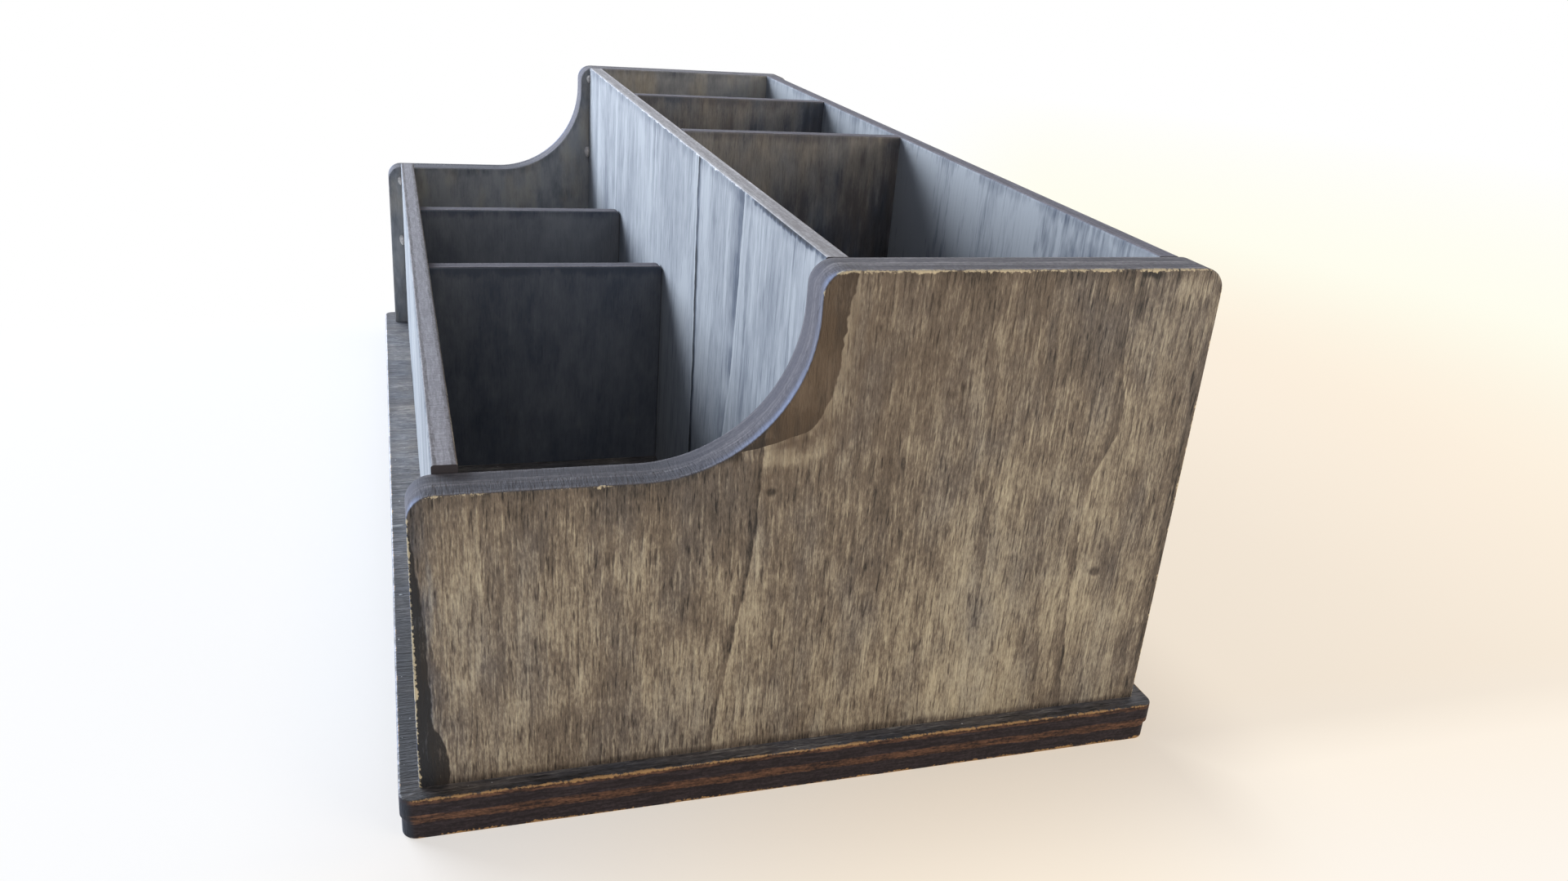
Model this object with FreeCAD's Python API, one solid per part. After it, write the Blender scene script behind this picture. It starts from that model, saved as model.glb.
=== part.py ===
import FreeCAD, Part
import os

# Paint rack organizer: a bench tray of stained plywood with a low front row and a high back row
# of open compartments. Every piece is cut from one thickness of sheet. The base and the two
# sides are two sheets thick: the sheet that faces the compartments has slots that take the tabs
# of the panels, and the other sheet covers those slots, so that no tab shows outside.
#
# Axes: +X runs along the rack, +Y from the low front row to the high back row, +Z up.
# Origin: the middle of the underside, on the surface that the rack stands on.
# All sizes are in millimetres.

# The sheet, the grid of compartments and the heights
sheet = 4.0                   # thickness of the plywood
cell_width = 56.5             # one single compartment, along X
cell_depth = 56.5             # one compartment, along Y
cells_per_row = 4             # single compartments that would fit in a row
divided_after = (1, 2)        # cells, counted from the left, that are closed by a divider
side_height = 85.5            # sides, middle panel, back panel and back dividers above the base
side_low_height = 52.0        # low front part of the sides, and the front dividers
front_panel_rise = 1.3        # the front panel stands this much above the sides' low part

# Outline of the sides
lip = 4.0                     # a side reaches this far past the front and the back panel
upright_lead = 2.8            # its upright edge stands this far ahead of the middle panel
upright_length = 3.0          # straight stretch between the sweep and the top corner
corner_radius = 4.0           # its three outer corners

# Base
base_overhang = 3.2           # past the sides, all round
base_corner_radius = 2.5
base_inset = 0.3              # the lower sheet is cut this much smaller, all round

# Finishing
arris_radius = 0.4            # sanded edges
divider_corner_radius = 1.5   # top corner of a front divider, at the middle panel

# Tabs and slots
tab_width = 18.0
tab_clearance = 0.1           # round a tab in its slot
tab_relief = 0.2              # a tab is this much shorter than the sheet that it goes into
end_clearance = 0.1           # a panel is this much short of the side, at each end
long_edge_tabs = 2            # along an edge that is longer than four tabs

# Places that follow from the sizes above
inner_length = cells_per_row * cell_width + (cells_per_row - 1) * sheet
inner_face = inner_length / 2
outer_face = inner_face + 2 * sheet
side_depth = 2 * lip + 3 * sheet + 2 * cell_depth
side_front = -side_depth / 2
side_back = side_depth / 2
front_panel_y = side_front + lip
middle_panel_y = front_panel_y + sheet + cell_depth
back_panel_y = middle_panel_y + sheet + cell_depth
upright_y = middle_panel_y - upright_lead
base_top = 2 * sheet
side_top = base_top + side_height
side_low_top = base_top + side_low_height
sweep_radius = side_height - side_low_height - corner_radius - upright_length
tab_depth = sheet - tab_relief
front_panel_height = side_low_height + front_panel_rise

Vec = FreeCAD.Vector
X, Y, Z = 0, 1, 2
nearly = 1e-4


# Spans: a box is three (low, high) pairs, along X, Y and Z.

def box(spans):
    (x0, x1), (y0, y1), (z0, z1) = spans
    return Part.makeBox(x1 - x0, y1 - y0, z1 - z0, Vec(x0, y0, z0))


def about(centre, width):
    return (centre - width / 2, centre + width / 2)


def spread(low, high):
    """Centres of the tabs along an edge: one in the middle, or more, evenly spread."""
    length = high - low
    count = long_edge_tabs if length > 4 * tab_width else 1
    return [low + length * (i + 0.5) / count for i in range(count)]


def edges_where(solid, test):
    """Edges whose ends and middle all pass a test on their point."""
    chosen = []
    for edge in solid.Edges:
        middle = edge.valueAt((edge.FirstParameter + edge.LastParameter) / 2)
        points = [vertex.Point for vertex in edge.Vertexes] + [middle]
        if all(test(point) for point in points):
            chosen.append(edge)
    return chosen


def round_edges(solid, radius, test):
    return solid.makeFillet(radius, edges_where(solid, test))


def on(point, axis, place):
    return abs(point[axis] - place) < nearly


# Tabs. Each list below is used twice: by the piece that carries the tabs, and by the sheet that
# has the slots for them.

def tabs_into_base(x_span, y_span):
    """Tabs under a wall that stands on the base, along its longer side."""
    z_span = (base_top - tab_depth, base_top)
    if x_span[1] - x_span[0] > y_span[1] - y_span[0]:
        return [(about(x, tab_width), y_span, z_span) for x in spread(*x_span)]
    return [(x_span, about(y, tab_width), z_span) for y in spread(*y_span)]


def tabs_into_side(hand, panel_y, height):
    """Tabs on one end of a panel; hand is -1 for the left side and 1 for the right side."""
    reach = (inner_face - end_clearance, inner_face + tab_depth)
    x_span = tuple(sorted(hand * x for x in reach))
    y_span = (panel_y, panel_y + sheet)
    return [(x_span, y_span, about(z, tab_width)) for z in spread(base_top, base_top + height)]


def add_tabs(solid, tabs):
    for tab in tabs:
        solid = solid.fuse(box(tab))
    return solid.removeSplitter()


def cut_slots(solid, tabs, axis, through):
    """Cut a slot round each tab, from end to end of the span through, along an axis."""
    for tab in tabs:
        slot = [(low - tab_clearance, high + tab_clearance) for low, high in tab]
        slot[axis] = through
        solid = solid.cut(box(slot))
    return solid


# The panels run from side to side, and the dividers from panel to panel.

panels = {
    "front_panel": (front_panel_y, front_panel_height),
    "middle_panel": (middle_panel_y, side_height),
    "back_panel": (back_panel_y, side_height),
}


def panel_spans(name):
    panel_y, height = panels[name]
    reach = inner_face - end_clearance
    return ((-reach, reach), (panel_y, panel_y + sheet), (base_top, base_top + height))


def panel(name):
    panel_y, height = panels[name]
    spans = panel_spans(name)
    top = spans[Z][1]
    solid = round_edges(
        box(spans), arris_radius,
        lambda p: on(p, Z, top) and (on(p, Y, spans[Y][0]) or on(p, Y, spans[Y][1])))
    tabs = tabs_into_base(spans[X], spans[Y])
    for hand in (-1, 1):
        tabs += tabs_into_side(hand, panel_y, height)
    return add_tabs(solid, tabs)


def divider_spans(row, cells):
    """Spans of the divider that closes so many cells of a row, counted from the left."""
    x0 = -inner_face + cells * cell_width + (cells - 1) * sheet
    if row == "front":
        y0, height = front_panel_y + sheet, side_low_height
    else:
        y0, height = middle_panel_y + sheet, side_height
    return ((x0, x0 + sheet), (y0, y0 + cell_depth), (base_top, base_top + height))


def divider(row, cells):
    spans = divider_spans(row, cells)
    top = spans[Z][1]
    rear = spans[Y][1]
    solid = box(spans)
    if row == "front":
        solid = round_edges(solid, divider_corner_radius,
                            lambda p: on(p, Z, top) and on(p, Y, rear))
    reach = rear - (divider_corner_radius if row == "front" else 0)
    solid = round_edges(
        solid, arris_radius,
        lambda p: on(p, Z, top) and p.y < reach + nearly
        and (on(p, X, spans[X][0]) or on(p, X, spans[X][1])))
    return add_tabs(solid, tabs_into_base(spans[X], spans[Y]))


# The sides: one outline, cut twice for each side.

def side_outline(x0):
    """A sheet with the stepped outline of a side, its hollow sweep and its round corners."""
    corners = [
        (side_front, base_top), (side_back, base_top), (side_back, side_top),
        (upright_y, side_top), (upright_y, side_low_top), (side_front, side_low_top),
    ]
    points = [Vec(x0, y, z) for y, z in corners]
    solid = Part.Face(Part.makePolygon(points + points[:1])).extrude(Vec(sheet, 0, 0))
    for y, z in ((side_front, side_low_top), (upright_y, side_top), (side_back, side_top)):
        solid = round_edges(solid, corner_radius,
                            lambda p, y=y, z=z: on(p, Y, y) and on(p, Z, z))
    return round_edges(solid, sweep_radius,
                       lambda p: on(p, Y, upright_y) and on(p, Z, side_low_top))


def side_spans(hand, layer):
    """Spans of one sheet of a side."""
    start = inner_face if layer == "inner" else inner_face + sheet
    x_span = tuple(sorted((hand * start, hand * (start + sheet))))
    return (x_span, (side_front, side_back), (base_top, side_top))


def side(hand, layer):
    spans = side_spans(hand, layer)
    bare_face = hand * (inner_face if layer == "inner" else outer_face)
    solid = round_edges(
        side_outline(spans[X][0]), arris_radius,
        lambda p: on(p, X, bare_face) and not on(p, Z, base_top))
    if layer == "outer":
        return solid
    for panel_y, height in panels.values():
        tabs = tabs_into_side(hand, panel_y, height)
        solid = cut_slots(solid, tabs, X, spans[X])
    return add_tabs(solid, tabs_into_base(spans[X], spans[Y]))


# The base: a cover sheet below and a slotted sheet above.

def base_sheet(z0, inset):
    half_length = outer_face + base_overhang - inset
    half_depth = side_back + base_overhang - inset
    spans = ((-half_length, half_length), (-half_depth, half_depth), (z0, z0 + sheet))
    return round_edges(
        box(spans), base_corner_radius,
        lambda p: abs(abs(p.x) - half_length) < nearly and abs(abs(p.y) - half_depth) < nearly)


def base_lower():
    return round_edges(base_sheet(0, base_inset), arris_radius, lambda p: on(p, Z, 0))


def base_upper():
    solid = round_edges(base_sheet(sheet, 0), arris_radius, lambda p: on(p, Z, base_top))
    walls = [panel_spans(name) for name in panels]
    walls += [divider_spans(row, cells) for row in ("front", "back") for cells in divided_after]
    walls += [side_spans(hand, "inner") for hand in (-1, 1)]
    for x_span, y_span, z_span in walls:
        solid = cut_slots(solid, tabs_into_base(x_span, y_span), Z, (sheet, base_top))
    return solid


def all_pieces():
    pieces = {"base_lower": base_lower(), "base_upper": base_upper()}
    for hand, end in ((-1, "left"), (1, "right")):
        for layer in ("outer", "inner"):
            pieces[f"{end}_side_{layer}"] = side(hand, layer)
    for name in panels:
        pieces[name] = panel(name)
    for row in ("front", "back"):
        for place, cells in enumerate(divided_after, start=1):
            pieces[f"{row}_divider_{place}"] = divider(row, cells)
    return pieces


os.makedirs("parts", exist_ok=True)
for name, solid in all_pieces().items():
    solid.exportStep(f"parts/{name}.step")
    print(f"{name:18s} {solid.Volume / 1000:8.2f} cm3  valid {solid.isValid()}")
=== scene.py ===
import math
from dataclasses import dataclass, replace

import bpy
import numpy as np
from bpy.props import FloatProperty, FloatVectorProperty, PointerProperty
from bpy.types import NodeSocket, ShaderNodeTree
from mathutils import Matrix, Vector


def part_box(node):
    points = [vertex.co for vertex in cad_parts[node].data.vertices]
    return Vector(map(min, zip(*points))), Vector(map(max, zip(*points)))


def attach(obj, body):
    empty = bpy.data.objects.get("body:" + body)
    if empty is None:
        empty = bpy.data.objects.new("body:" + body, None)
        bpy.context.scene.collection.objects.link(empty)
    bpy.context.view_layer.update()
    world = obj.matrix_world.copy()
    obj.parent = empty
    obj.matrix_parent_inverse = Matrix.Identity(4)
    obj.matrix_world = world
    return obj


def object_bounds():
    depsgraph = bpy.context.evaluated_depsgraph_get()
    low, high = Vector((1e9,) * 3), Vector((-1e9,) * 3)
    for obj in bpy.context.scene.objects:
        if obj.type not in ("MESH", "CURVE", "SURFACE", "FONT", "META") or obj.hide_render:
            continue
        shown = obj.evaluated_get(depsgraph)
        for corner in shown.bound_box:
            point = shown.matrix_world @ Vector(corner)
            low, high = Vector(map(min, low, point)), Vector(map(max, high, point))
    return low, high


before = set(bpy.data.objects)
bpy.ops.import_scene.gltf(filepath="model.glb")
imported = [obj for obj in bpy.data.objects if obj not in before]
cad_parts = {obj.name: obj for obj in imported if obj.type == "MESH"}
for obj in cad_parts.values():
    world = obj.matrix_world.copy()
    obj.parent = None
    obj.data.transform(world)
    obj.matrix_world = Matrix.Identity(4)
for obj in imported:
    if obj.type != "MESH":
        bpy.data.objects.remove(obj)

bl_info = {
    "name": "Stained plywood paint rack",
    "version": (1, 0, 0),
    "blender": (4, 5, 0),
    "location": "View3D > Sidebar > Paint rack",
    "description": "Finishes, glue beads and studio for a stained plywood paint rack",
    "category": "Object",
}

CAD_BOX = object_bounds()
MM = 0.001  # a millimetre in metres
SMOOTH = {"interpolation_type": "SMOOTHSTEP"}
RGBA = {"data_type": "RGBA"}


def linear(text):
    """The linear RGBA of an sRGB colour written as #rrggbb."""
    values = [int(text[i:i + 2], 16) / 255 for i in (1, 3, 5)]
    curve = [v / 12.92 if v <= 0.04045 else ((v + 0.055) / 1.055) ** 2.4 for v in values]
    return (*curve, 1.0)


def add(tree, kind, inputs=None, out=0, **settings):
    """Add a node, set it, fill or link its inputs, and return one of its outputs.

    Inputs are given by name or number, and a colour may be written as #rrggbb.
    """
    node = tree.nodes.new("ShaderNode" + kind)
    for name, value in settings.items():
        setattr(node, name, value)
    for key, value in (inputs or {}).items():
        if isinstance(value, NodeSocket):
            tree.links.new(value, node.inputs[key])
        else:
            node.inputs[key].default_value = linear(value) if isinstance(value, str) else value
    return None if out is None else node.outputs[out]


def emptied(block):
    """The node tree of a material or a world, with nothing in it."""
    block.use_nodes = True
    block.node_tree.nodes.clear()
    return block.node_tree


def box_mm(node):
    """Lowest and highest corner of a sheet in millimetres."""
    return [tuple(v / MM for v in corner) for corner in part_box(node)]


# In millimetres: the top of the base, the height of the sides and the high panels above it, and
# the step from one sheet's figure to the next.
FOOT = box_mm("base_upper")[1][2]
HIGH_TOP = box_mm("middle_panel")[1][2] - FOOT
SEED_STEP = (71.3, 43.7, 19.1)


# -------- sizes and colours

def length(name, description, millimetres):
    """A length that the user can change, with its default in millimetres."""
    return FloatProperty(name=name, description=description, default=millimetres * MM,
                         unit="LENGTH")


class RackSizes(bpy.types.PropertyGroup):
    """Sizes of the plywood that the finishes follow."""
    sheet: length("Sheet", "Thickness of the three-ply sheet", 4.0)
    face_ply: length("Face ply", "Thickness of an outer ply of the sheet", 0.9)
    sweep: length("Sweep radius", "Hollow curve between the low and the high part of a side", 26.5)
    upright_lead: length(
        "Upright lead", "How far a side's upright edge stands ahead of the middle panel", 2.8)
    low_drop: length(
        "Low edge drop", "How far a side's low edge lies under the front panel's top", 1.3)


def shade(name, description, text):
    """A colour that the user can change, with its default written as #rrggbb."""
    return FloatVectorProperty(name=name, description=description, default=linear(text),
                               subtype="COLOR", size=4, min=0.0, max=1.0)


class RackColours(bpy.types.PropertyGroup):
    """Colours of the stain, the bare wood, the glue and the floor."""
    brown_pale: shade("Brown, pale", "Brown faces where the wood took little stain", "#bbb198")
    brown_middle: shade("Brown, middle", "Brown faces where it took some", "#706456")
    brown_dark: shade("Brown, dark", "Brown faces in pores and pools of stain", "#251f1a")
    brown_warm: shade("Brown, warm", "Patches where the brown stain hides the grain", "#604e3a")
    black_pale: shade("Black, pale", "Black faces where the wood took little stain", "#919496")
    black_middle: shade("Black, middle", "Black faces where it took some", "#444b57")
    black_dark: shade("Black, dark", "Black faces in pores and pools of stain", "#14171d")
    edge_low: shade("Edge, low", "Cut edge of a side's low part", "#35353b")
    # Painted reflection: a bluish tint of the window on a side's cut edge.
    edge_window_reflection: shade("Edge, turned", "Cut edge of a side where it faces the front", "#4b4a53")
    # Painted highlight of the window on the sweep's outer 2 mm.
    edge_window_highlight: shade("Edge, film", "Stain that dried as a film on the sweep", "#727a8f")
    edge_soiled: shade("Edge, soiled", "Cut edge that hands have darkened", "#8a8480")
    edge_ends: shade("Edge, ends", "Cut ends of the panels", "#3b383c")
    # Painted cool cast of the window on the base's edges that face the front.
    edge_front_window_cast: shade("Edge, front", "Cut edge of the base at the front", "#33373f")
    raw_wood: shade("Raw wood", "Arrises that were rubbed through the stain", "#cfc1a0")
    raw_base: shade("Raw base", "Arrises of the base, scorched by the cut", "#a88559")
    # Painted highlight of the window on the base's arrises at the front.
    front_arris_highlight: shade("Raw front", "Arrises of the base at the front", "#8d98ab")
    raw_grey: shade("Rubbed grey", "Arrises of the black sheets, rubbed less", "#d4d2d0")
    dust: shade("Dust", "Specks of dust on the base", "#d9d8d5")
    glue: shade("Glue", "Beads of dried glue", "#e6e1da")
    glue_stained: shade("Glue, stained", "Beads of glue where they took some stain", "#aba8a6")
    # Warm and cream on the floor are painted lamp light.
    floor_cool: shade("Floor, window side", "Card on the side of the window", "#fffdf8")
    floor_warm: shade("Floor, lamp side", "Card on the side of the lamp", "#fdf0de")
    floor_cream: shade("Floor, cream", "Card on the lamp side, away from the rack", "#fffeef")


class StageSizes(bpy.types.PropertyGroup):
    """Where the camera stands, what it looks at, and its lens."""
    camera_place: FloatVectorProperty(
        name="Camera", description="Place of the camera", subtype="TRANSLATION",
        default=(0.2930, -0.0665, 0.1399))
    camera_aim: FloatVectorProperty(
        name="Aim", description="Point that the camera looks at", subtype="TRANSLATION",
        default=(0.0, 0.0346, 0.0097))
    camera_roll: FloatProperty(
        name="Roll", description="Turn of the camera about its line of sight", subtype="ANGLE",
        default=math.radians(4.756))
    camera_lens: FloatProperty(
        name="Lens", description="Focal length on a 36 mm sensor", default=27.812, unit="CAMERA")


# -------- places on a sheet

@dataclass(frozen=True)
class Lie:
    """How a sheet lies in the rack.

    The corner is a point of the bare face, in metres, from which its places are measured. The
    directions run across the grain, along it, and into the sheet.
    """
    corner: tuple
    across: tuple
    along: tuple
    into: tuple
    seed: int


@dataclass(frozen=True)
class Ground:
    """Where a point of a sheet lies, in millimetres, and where its surface faces."""
    tree: ShaderNodeTree
    across: NodeSocket  # across the grain
    along: NodeSocket   # along the grain
    depth: NodeSocket   # behind the bare face
    beyond: NodeSocket  # ahead of the other face
    nearer: NodeSocket  # from the nearer of the two
    place: NodeSocket   # across and along, as a vector
    point: NodeSocket   # all three, moved by the sheet's seed so that no two are figured alike
    normal: NodeSocket
    turned: NodeSocket  # cosine between the normal and the direction across the grain
    facing: NodeSocket  # cosine between the normal and the direction into the sheet


def sheet_ground(tree, lie):
    """The ground of a sheet, from how it lies."""
    spot = add(tree, "TexCoord", out="Object")
    offset = add(tree, "VectorMath", {0: spot, 1: lie.corner}, operation="SUBTRACT")
    across, along, into = (
        add(tree, "VectorMath", {0: offset, 1: tuple(v / MM for v in axis)}, "Value",
            operation="DOT_PRODUCT") for axis in (lie.across, lie.along, lie.into))
    point = add(tree, "CombineXYZ", {0: across, 1: along, 2: into})
    moved = tuple(lie.seed * step for step in SEED_STEP)
    depth = add(tree, "Math", {0: into}, operation="ABSOLUTE")
    sheet = bpy.context.scene.rack_sizes.sheet / MM
    beyond = add(tree, "Math", {0: sheet, 1: depth}, operation="SUBTRACT")
    normal = add(tree, "TexCoord", out="Normal")
    turned, facing = (
        add(tree, "VectorMath", {0: normal, 1: axis}, "Value", operation="DOT_PRODUCT")
        for axis in (lie.across, lie.into))
    return Ground(tree, across, along, depth, beyond, lowest(tree, [depth, beyond]),
                  add(tree, "CombineXYZ", {0: across, 1: along}),
                  add(tree, "VectorMath", {0: point, 1: moved}, operation="ADD"),
                  normal, turned, facing)


def total(tree, start, parts):
    """start plus each part times its weight."""
    for part, weight in parts:
        start = add(tree, "Math", {0: part, 1: weight, 2: start}, operation="MULTIPLY_ADD")
    return start


def lowest(tree, values):
    """The lowest of several values."""
    result = values[0]
    for value in values[1:]:
        result = add(tree, "Math", {0: result, 1: value}, operation="MINIMUM")
    return result


def far_from(at, middle):
    """Millimetres from a place on the face."""
    return add(at.tree, "VectorMath", {0: at.place, 1: (*middle, 0)}, "Value",
               operation="DISTANCE")


# Distances from the outline of a sheet, in millimetres.

def top_edge(height):
    """Distance below the top edge of an upright sheet."""
    def distance(at):
        return add(at.tree, "Math", {0: height, 1: at.along}, operation="SUBTRACT")
    return distance


def rectangle(half_across, half_along):
    """Distance inside a rectangle about the middle."""
    def distance(at):
        inside = []
        for half, value in ((half_across, at.across), (half_along, at.along)):
            size = add(at.tree, "Math", {0: value}, operation="ABSOLUTE")
            inside.append(add(at.tree, "Math", {0: half, 1: size}, operation="SUBTRACT"))
        return lowest(at.tree, inside)
    return distance


def stepped_side(half_depth, top, low, upright, sweep):
    """Distance inside a side's outline, a rectangle less a notch whose inner corner is round."""
    def distance(at):
        tree = at.tree
        front = add(tree, "Math", {0: at.across, 1: half_depth}, operation="ADD")
        back = add(tree, "Math", {0: half_depth, 1: at.across}, operation="SUBTRACT")
        under_top = add(tree, "Math", {0: top, 1: at.along}, operation="SUBTRACT")
        over = add(tree, "Math", {0: at.across, 1: upright - sweep}, operation="SUBTRACT")
        down = add(tree, "Math", {0: low + sweep, 1: at.along}, operation="SUBTRACT")
        corner = add(tree, "CombineXYZ", {
            0: add(tree, "Math", {0: over, 1: 0.0}, operation="MAXIMUM"),
            1: add(tree, "Math", {0: down, 1: 0.0}, operation="MAXIMUM")})
        reach = add(tree, "VectorMath", {0: corner}, "Value", operation="LENGTH")
        beside = lowest(tree, [add(tree, "Math", {0: over, 1: down}, operation="MAXIMUM"), 0.0])
        in_notch = total(tree, -sweep, [(reach, 1.0), (beside, 1.0)])
        return lowest(tree, [front, back, under_top, in_notch])
    return distance


# -------- wood patterns

def figure(tree, point, size, detail=2.0, rough=0.5):
    """Mottling from about -1 to 1, in spots of a size in millimetres across, along and in."""
    scaled = add(tree, "VectorMath", {0: point, 1: tuple(1 / s for s in size)},
                 operation="MULTIPLY")
    noise = add(tree, "TexNoise", {
        "Vector": scaled, "Scale": 1.0, "Detail": detail, "Roughness": rough})
    return add(tree, "MapRange", {0: noise, 1: 0.28, 2: 0.72, 3: -1.0, 4: 1.0}, clamp=False)


def veneer_line(points, weight, flank, pale=0.0, side=1, strip_width=1.3, ragged=0.3):
    """A line in the veneer through points of height and place across, in mm, from the foot up.

    The wood on one side is darker, sharply at the line and less over the flank, and a thin strip
    on the other side may be paler. Side is 1 where the dark lies before the line, and -1 past it.
    """
    heights, places = zip(*points)
    rise, first, last = heights[-1] - heights[0], min(places), max(places)
    fade_in = 2.5

    def mark(at, stain):
        tree = at.tree
        drawn = add(tree, "FloatCurve", {
            1: add(tree, "MapRange", {0: at.along, 1: heights[0], 2: heights[-1]})})
        dots = drawn.node.mapping.curves[0].points
        for _ in points[2:]:
            dots.new(0.5, 0.5)
        for dot, (height, place) in zip(dots, points):
            dot.location = ((height - heights[0]) / rise, (place - first) / (last - first))
        drawn.node.mapping.update()
        line = add(tree, "MapRange", {0: drawn, 3: first, 4: last})
        line = total(tree, line, [(figure(tree, at.point, (4, 4, 4), 2.0), ragged)])
        before = add(tree, "Math", {0: line, 1: at.across}, operation="SUBTRACT")
        before = add(tree, "Math", {0: before, 1: side}, operation="MULTIPLY")
        soft = add(tree, "MapRange", {0: before, 1: flank, 2: 0.0}, **SMOOTH)
        past = add(tree, "MapRange", {0: before, 1: 0.12, 2: -0.2}, **SMOOTH)
        strip = add(tree, "MapRange", {0: before, 1: -strip_width, 2: -0.1})
        strip = add(tree, "Math", {0: strip, 1: past}, operation="MULTIPLY")
        dark = add(tree, "Math", {0: soft, 1: past}, operation="SUBTRACT", use_clamp=True)
        # A line that starts above the foot fades in, and every line is faint in places.
        begun = add(tree, "MapRange", {0: at.along, 1: heights[0] - fade_in, 2: heights[0]},
                    **SMOOTH)
        dark = add(tree, "Math", {0: dark, 1: begun}, operation="MULTIPLY")
        strip = add(tree, "Math", {0: strip, 1: begun}, operation="MULTIPLY")
        faint = figure(tree, at.point, (30, 12, 30), 2.0)
        faint = add(tree, "MapRange", {0: faint, 1: -1.4, 2: 0.5})
        dark = add(tree, "Math", {0: dark, 1: faint}, operation="MULTIPLY")
        return total(tree, stain, [(dark, weight), (strip, -pale)])
    return mark


def oval(at, middle, size):
    """1 inside an oval with a ragged rim and 0 outside. Its size is half its width and height."""
    tree = at.tree
    width, height = size
    off = add(tree, "VectorMath", {0: at.place, 1: (*middle, 0)}, operation="SUBTRACT")
    scaled = add(tree, "VectorMath", {0: off, 1: (1 / width, 1 / height, 0)}, operation="MULTIPLY")
    reach = add(tree, "VectorMath", {0: scaled}, "Value", operation="LENGTH")
    lumps = (max(1.5, 0.06 * width), max(3.0, 0.3 * height), 8.0)
    ragged = total(tree, reach, [(figure(tree, at.point, lumps, 2.0), 0.3)])
    return add(tree, "MapRange", {0: ragged, 1: 1.2, 2: 0.3}, **SMOOTH)


def stain_and_painted_light_spots(*spots):
    """Pin knots and pools of stain, or pale spots where the weight is negative. Some dark spots
    are painted shade and some pale ones painted light.

    Each is given by its place across and along, half its width and height, and its weight.
    """
    def mark(at, stain):
        ovals = [(oval(at, (across, along), (width, height)), weight)
                 for across, along, width, height, weight in spots]
        return total(at.tree, stain, ovals)
    return mark


def stain_taken(at, coarse):
    """The fine and the wide part of how much stain the wood took, and the relief of its grain.

    Wide bands and clouds come from the veneer's own tone, and fine dashes from its open pores,
    which are 0.05 mm wide and are drawn 0.4 mm wide, or coarser, so that they show. Coarse is how
    many times larger than on the near end they all are, across and along the grain.
    """
    tree = at.tree
    # The grain wanders by 1 mm over some 120 mm.
    wander = add(tree, "CombineXYZ", {0: figure(tree, at.point, (45, 120, 45), 1.0)})
    point = add(tree, "VectorMath", {0: at.point, 1: wander}, operation="ADD")
    broad = figure(tree, point, (13, 90, 30), 2.0)
    point = add(tree, "VectorMath", {0: point, 1: (1 / coarse[0], 1 / coarse[1], 1)},
                operation="MULTIPLY")
    clouds = figure(tree, point, (14, 22, 24), 3.0, 0.6)
    strips = figure(tree, point, (3.6, 34, 20), 2.0, 0.6)
    blotches = figure(tree, point, (3.0, 8, 9), 3.0, 0.65)
    ribs = figure(tree, point, (0.5, 11, 4), 1.0)
    dashes = figure(tree, point, (0.6, 4, 4), 2.0, 0.7)
    fibres = figure(tree, point, (0.3, 1.3, 2), 2.0, 0.7)
    pores = figure(tree, point, (0.42, 4.5, 3), 1.0)
    pores = add(tree, "MapRange", {0: pores, 1: 0.35, 2: 0.8}, **SMOOTH)
    hairs = figure(tree, point, (0.45, 9, 5), 1.0)
    hairs = add(tree, "MapRange", {0: hairs, 1: 0.5, 2: 0.95}, **SMOOTH)
    fine = [(ribs, 0.11), (dashes, 0.11), (fibres, 0.17), (pores, 0.28), (hairs, -0.2)]
    wide = [(broad, 0.08), (clouds, 0.13), (strips, 0.05), (blotches, 0.12)]
    relief = [(pores, -0.5), (ribs, -0.35), (dashes, -0.35), (fibres, -0.25)]
    return [total(tree, 0.0, parts) for parts in (fine, wide, relief)]


def shaded(tree, stain, shades):
    """The colour of stained wood, from shades that run from bare to black."""
    ramp = add(tree, "ValToRGB", {0: stain})
    elements = ramp.node.color_ramp.elements
    elements.new(0.5)
    for stop, colour in zip(elements, shades):
        stop.color = colour
    return ramp


# -------- the finish

@dataclass(frozen=True)
class Look:
    """How one sheet took its stain and was worn, with lengths and places in millimetres."""
    ply: tuple                # pale and dark of the outer plies, on a cut edge
    core: tuple               # pale and dark of the core
    scorched: bool = False    # the ply at the bare face was burnt as dark as the core
    # A low tone on the panels, the inner sides and the far front divider paints light.
    tone: float = 0.0         # stain that the sheet took beyond the usual, or less
    grain: float = 1.0        # strength of pores and fine streaks
    bands: float = 1.0        # strength of wide bands and clouds
    coarse: tuple = (1, 1)    # size of those marks, across and along the grain
    marks: tuple = ()         # veneer lines, spots of stain, and spots of painted shade and light
    smooth: tuple = ()        # middle and size of a patch where the grain hardly shows
    black: float = 0.0        # share of black stain in the brown
    mottle: float = 0.25      # how much that share changes from place to place
    # Cold patches on the back dividers paint their shade.
    cold: tuple = ()          # middle, size and weight of patches with more black
    warm: tuple = ()          # middle, size and weight of patches of warm brown
    brown_back: bool = False  # the other face is brown, as the near end is
    dust: float = 0.0         # cover of the specks of dust
    seam: bool = False        # a dark seam shows where the next sheet lies against this one
    swept: tuple = ()         # height of a side's low edge, and if it is the outermost sheet
    soiled: tuple = ()        # middle and radius of the place where hands took the edge
    dark_ends: bool = False   # cut ends are dark
    painted_window_front: bool = False  # painted cast and highlight of the window on edges that face the front
    wear: float = 1.0         # how widely the arrises were rubbed
    uneven: float = 1.0       # how much that width changes
    spared: tuple = ()        # middle, radius and amount of places that were rubbed less
    one_face: bool = True     # only the bare face has arrises, the other is covered
    raw: str = "raw_grey"     # colour of the rubbed wood
    raised: float = 0.06      # relief of the grain
    matt: float = 0.45        # roughness of the faces
    edge_matt: float = 0.95   # roughness of the cut edges
    shine: float = 0.35       # mirror-like part of the light
    gloss: float = 0.2        # film that the stain left on the faces
    sheen: float = 0.05       # fibres that were raised by the stain


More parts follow.
